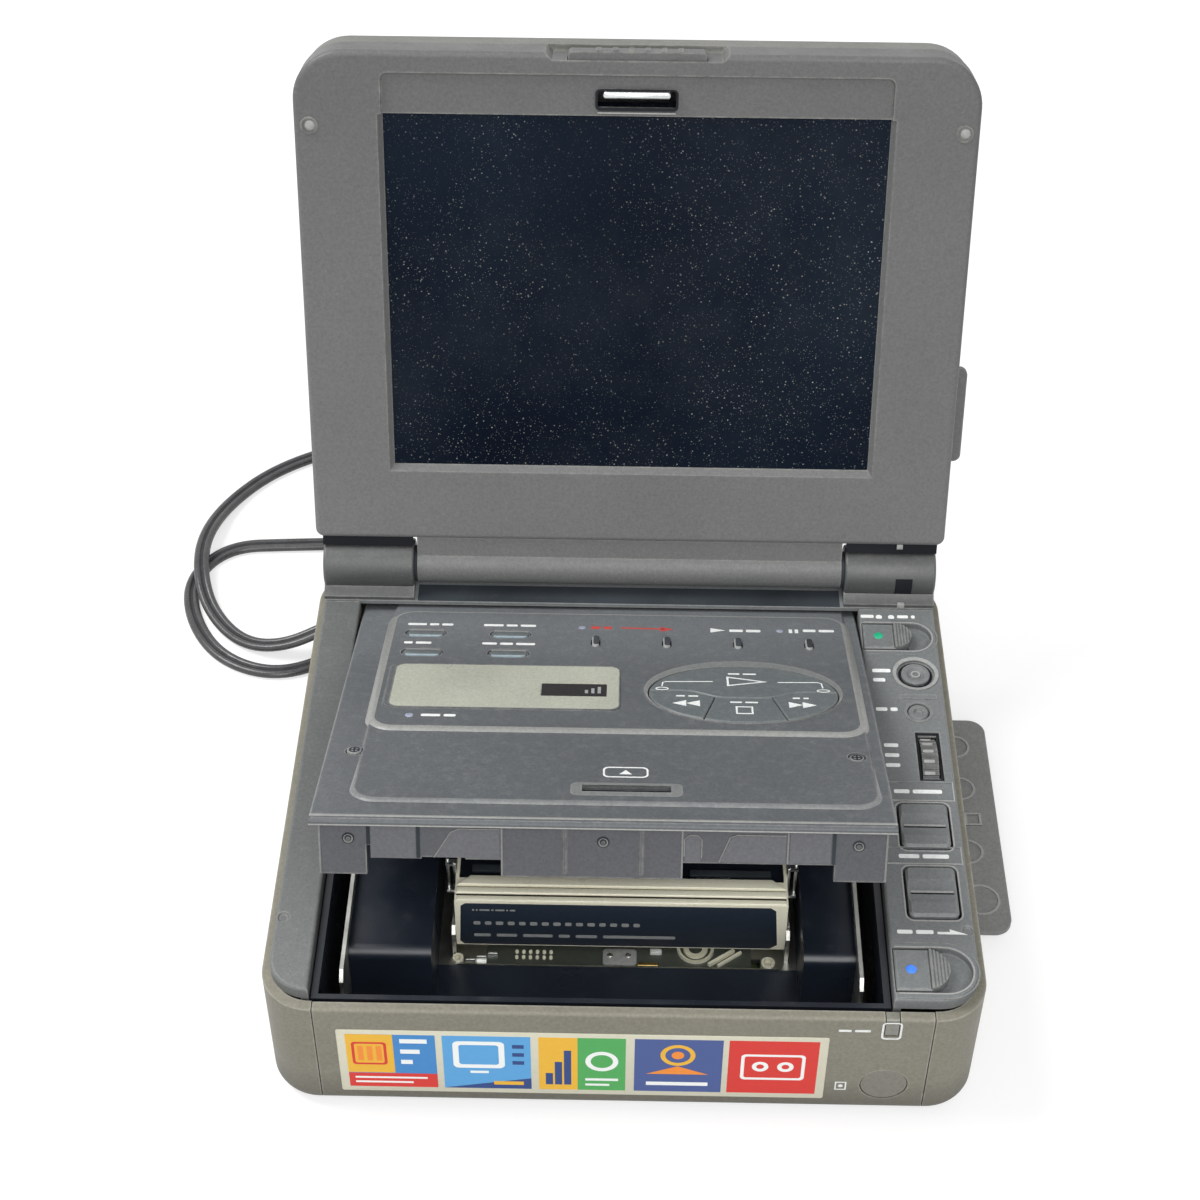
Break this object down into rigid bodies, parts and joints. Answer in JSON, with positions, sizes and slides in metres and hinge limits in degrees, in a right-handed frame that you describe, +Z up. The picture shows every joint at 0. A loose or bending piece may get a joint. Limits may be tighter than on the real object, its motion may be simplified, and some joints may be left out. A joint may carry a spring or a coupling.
{
  "type": "portable cassette video player",
  "caption": "Portable cassette video player with a fold-up screen, raised cassette door, oval key cluster, side jack cover and power lead.",
  "frame": {"origin": "middle of the resting face under the cabinet", "axes": "+Z up, +Y to the rear where the screen lid is hinged, +X to the viewer's right, -Y out of the front face"},
  "size_m": [0.2031, 0.2267, 0.1608],
  "materials": {
    "cabinet_plastic": "fine satin, slightly worn",
    "strip_plastic": "fine satin",
    "panel_plastic": "fine satin, bare front",
    "door_plastic": "dusty satin",
    "lid_plastic": "fine satin",
    "key_plastic": "satin with printed marks",
    "liner_plastic": "dark satin",
    "screen": "smooth dark glossy, dusty",
    "lens": "smooth dark lens",
    "rubber": "matt",
    "cord_rubber": "soft satin",
    "steel": "pressed sheet",
    "drum_metal": "turned and polished",
    "cream_metal": "passivated sheet with a dark label plate",
    "plate_metal": "brushed, bare",
    "board": "laminate with chips"
  },
  "bodies": {
    "cabinet": {"bottom_cabinet": "cabinet_plastic", "feet": "rubber", "cabinet_screws": "steel", "front_panel": "panel_plastic", "power_lamp": "lens", "remote_window": "lens", "left_top_cover": "strip_plastic", "control_panel": "strip_plastic", "rear_deck": "strip_plastic", "hinge_covers": "lid_plastic", "hinge_pins": "steel", "cavity_liner": "liner_plastic", "main_chassis": "steel", "deck_rails": "steel", "deck_posts": "steel", "drum_base": "drum_metal", "main_board": "board", "jack_panel": "cabinet_plastic", "dc_inlet": "liner_plastic", "dc_plug": "cord_rubber", "power_lead": "cord_rubber", "far_plug": "cord_rubber", "lead_coil": "cord_rubber"},
    "cassette_door": {"door_panel": "door_plastic", "door_skirt": "door_plastic", "door_arms": "steel", "door_screws": "steel", "format_plate": "plate_metal"},
    "screen_lid": {"lid_bezel": "lid_plastic", "lid_rear_cover": "lid_plastic", "lcd_panel": "screen"},
    "head_drum_body": {"head_drum": "drum_metal"},
    "capstan_flywheel_body": {"capstan_flywheel": "steel"},
    "pinch_roller_body": {"pinch_roller": "rubber"},
    "supply_reel_body": {"supply_reel": "liner_plastic"},
    "take_up_reel_body": {"take_up_reel": "liner_plastic"},
    "cassette_holder_body": {"cassette_holder": "cream_metal"},
    "power_slider_body": {"power_slider": "strip_plastic"},
    "eject_slider_body": {"eject_slider": "strip_plastic"},
    "round_button_body": {"round_button": "key_plastic"},
    "small_button_body": {"small_button": "key_plastic"},
    "bright_rocker_body": {"bright_rocker": "key_plastic"},
    "sound_rocker_body": {"sound_rocker": "key_plastic"},
    "dial_wheel_body": {"dial_wheel": "key_plastic"},
    "jack_cover_body": {"jack_cover": "rubber"},
    "play_key_body": {"play_key": "key_plastic"},
    "stop_key_body": {"stop_key": "key_plastic"},
    "rewind_key_body": {"rewind_key": "key_plastic"},
    "forward_key_body": {"forward_key": "key_plastic"},
    "display_button_body": {"display_button": "key_plastic"},
    "title_button_body": {"title_button": "key_plastic"},
    "dub_button_body": {"dub_button": "key_plastic"},
    "assemble_button_body": {"assemble_button": "key_plastic"},
    "record_button_body": {"record_button": "key_plastic"},
    "record_mate_button_body": {"record_mate_button": "key_plastic"},
    "slow_button_body": {"slow_button": "key_plastic"},
    "pause_button_body": {"pause_button": "key_plastic"},
    "port_cover_body": {"port_cover": "rubber"},
    "latch_button_body": {"latch_button": "lid_plastic"},
    "latch_hook_body": {"latch_hook": "steel"}
  },
  "joints": [
    {"name": "lid_hinge", "type": "hinge", "parent": "cabinet", "child": "screen_lid", "pos_m": [0, 0.0596, 0.0412], "axis": [-1, 0, 0], "range_deg": [-106, 0]},
    {"name": "door_hinge", "type": "hinge", "parent": "cabinet", "child": "cassette_door", "pos_m": [0, 0.042, 0.006], "axis": [-1, 0, 0], "range_deg": [-19.5, 0]},
    {"name": "holder_hinge", "type": "hinge", "parent": "cabinet", "child": "cassette_holder_body", "pos_m": [-0.0007, 0.0234, 0.0136], "axis": [-1, 0, 0], "range_deg": [-4.2, 0], "stiffness_Nm_per_rad": 0.05, "springref_deg": 17.19},
    {"name": "head_drum_spin", "type": "hinge", "parent": "cabinet", "child": "head_drum_body", "pos_m": [0.016, 0.0325, 0.009], "axis": [0, 0, 1], "continuous": true},
    {"name": "capstan_flywheel_spin", "type": "hinge", "parent": "cabinet", "child": "capstan_flywheel_body", "pos_m": [-0.014, 0.0255, 0.009], "axis": [0, 0, 1], "continuous": true},
    {"name": "pinch_roller_spin", "type": "hinge", "parent": "cabinet", "child": "pinch_roller_body", "pos_m": [-0.014, 0.03, 0.009], "axis": [0, 0, 1], "continuous": true},
    {"name": "supply_reel_spin", "type": "hinge", "parent": "cabinet", "child": "supply_reel_body", "pos_m": [-0.0152, -0.007, 0.009], "axis": [0, 0, 1], "continuous": true},
    {"name": "take_up_reel_spin", "type": "hinge", "parent": "cabinet", "child": "take_up_reel_body", "pos_m": [0.0138, -0.007, 0.009], "axis": [0, 0, 1], "continuous": true},
    {"name": "power_slide", "type": "slide", "parent": "cabinet", "child": "power_slider_body", "axis": [1, 0, 0], "range_m": [0, 0.0035]},
    {"name": "eject_slide", "type": "slide", "parent": "cabinet", "child": "eject_slider_body", "axis": [1, 0, 0], "range_m": [0, 0.003], "stiffness_N_per_m": 300, "springref_m": -0.002},
    {"name": "round_button_press", "type": "slide", "parent": "cabinet", "child": "round_button_body", "axis": [0, 0, -1], "range_m": [0, 0.0008], "stiffness_N_per_m": 500, "springref_m": -0.001},
    {"name": "small_button_press", "type": "slide", "parent": "cabinet", "child": "small_button_body", "axis": [0, 0, -1], "range_m": [0, 0.0008], "stiffness_N_per_m": 500, "springref_m": -0.001},
    {"name": "bright_rocker_rock", "type": "hinge", "parent": "cabinet", "child": "bright_rocker_body", "pos_m": [0.0644, -0.0162, 0.0325], "axis": [1, 0, 0], "range_deg": [-3, 3], "stiffness_Nm_per_rad": 0.05},
    {"name": "sound_rocker_rock", "type": "hinge", "parent": "cabinet", "child": "sound_rocker_body", "pos_m": [0.0644, -0.0345, 0.0325], "axis": [1, 0, 0], "range_deg": [-3, 3], "stiffness_Nm_per_rad": 0.05},
    {"name": "dial_spin", "type": "hinge", "parent": "cabinet", "child": "dial_wheel_body", "pos_m": [0.0673, 0.0044, 0.0269], "axis": [1, 0, 0], "continuous": true},
    {"name": "jack_cover_hinge", "type": "hinge", "parent": "cabinet", "child": "jack_cover_body", "pos_m": [0.0734, 0.012, 0.005], "axis": [0, -1, 0], "range_deg": [0, 90]},
    {"name": "play_key_press", "type": "slide", "parent": "cassette_door", "child": "play_key_body", "axis": [0, -0.3338, -0.9426], "range_m": [0, 0.0004], "stiffness_N_per_m": 600, "springref_m": -0.001},
    {"name": "stop_key_press", "type": "slide", "parent": "cassette_door", "child": "stop_key_body", "axis": [0, -0.3338, -0.9426], "range_m": [0, 0.0004], "stiffness_N_per_m": 600, "springref_m": -0.001},
    {"name": "rewind_key_press", "type": "slide", "parent": "cassette_door", "child": "rewind_key_body", "axis": [0, -0.3338, -0.9426], "range_m": [0, 0.0004], "stiffness_N_per_m": 600, "springref_m": -0.001},
    {"name": "forward_key_press", "type": "slide", "parent": "cassette_door", "child": "forward_key_body", "axis": [0, -0.3338, -0.9426], "range_m": [0, 0.0004], "stiffness_N_per_m": 600, "springref_m": -0.001},
    {"name": "display_button_press", "type": "slide", "parent": "cassette_door", "child": "display_button_body", "axis": [0, -0.3338, -0.9426], "range_m": [0, 0.0004], "stiffness_N_per_m": 600, "springref_m": -0.001},
    {"name": "title_button_press", "type": "slide", "parent": "cassette_door", "child": "title_button_body", "axis": [0, -0.3338, -0.9426], "range_m": [0, 0.0004], "stiffness_N_per_m": 600, "springref_m": -0.001},
    {"name": "dub_button_press", "type": "slide", "parent": "cassette_door", "child": "dub_button_body", "axis": [0, -0.3338, -0.9426], "range_m": [0, 0.0004], "stiffness_N_per_m": 600, "springref_m": -0.001},
    {"name": "assemble_button_press", "type": "slide", "parent": "cassette_door", "child": "assemble_button_body", "axis": [0, -0.3338, -0.9426], "range_m": [0, 0.0004], "stiffness_N_per_m": 600, "springref_m": -0.001},
    {"name": "record_button_press", "type": "slide", "parent": "cassette_door", "child": "record_button_body", "axis": [0, -0.3338, -0.9426], "range_m": [0, 0.0004], "stiffness_N_per_m": 600, "springref_m": -0.001},
    {"name": "record_mate_button_press", "type": "slide", "parent": "cassette_door", "child": "record_mate_button_body", "axis": [0, -0.3338, -0.9426], "range_m": [0, 0.0004], "stiffness_N_per_m": 600, "springref_m": -0.001},
    {"name": "slow_button_press", "type": "slide", "parent": "cassette_door", "child": "slow_button_body", "axis": [0, -0.3338, -0.9426], "range_m": [0, 0.0004], "stiffness_N_per_m": 600, "springref_m": -0.001},
    {"name": "pause_button_press", "type": "slide", "parent": "cassette_door", "child": "pause_button_body", "axis": [0, -0.3338, -0.9426], "range_m": [0, 0.0004], "stiffness_N_per_m": 600, "springref_m": -0.001},
    {"name": "port_cover_hinge", "type": "hinge", "parent": "screen_lid", "child": "port_cover_body", "pos_m": [0.0731, 0.07919, 0.07324], "axis": [0, -0.2756, -0.9613], "range_deg": [0, 90]},
    {"name": "latch_press", "type": "slide", "parent": "screen_lid", "child": "latch_button_body", "axis": [0, -0.2756, -0.9613], "range_m": [0, 0.0008], "stiffness_N_per_m": 500, "springref_m": -0.001},
    {"name": "hook_slide", "type": "slide", "parent": "screen_lid", "child": "latch_hook_body", "axis": [0, -0.2756, -0.9613], "range_m": [0, 0.0008]}
  ],
  "couplings": [
    {"joint": "door_hinge", "follows": "lid_hinge", "ratio": 0.18396},
    {"joint": "hook_slide", "follows": "latch_press", "ratio": 1}
  ]
}
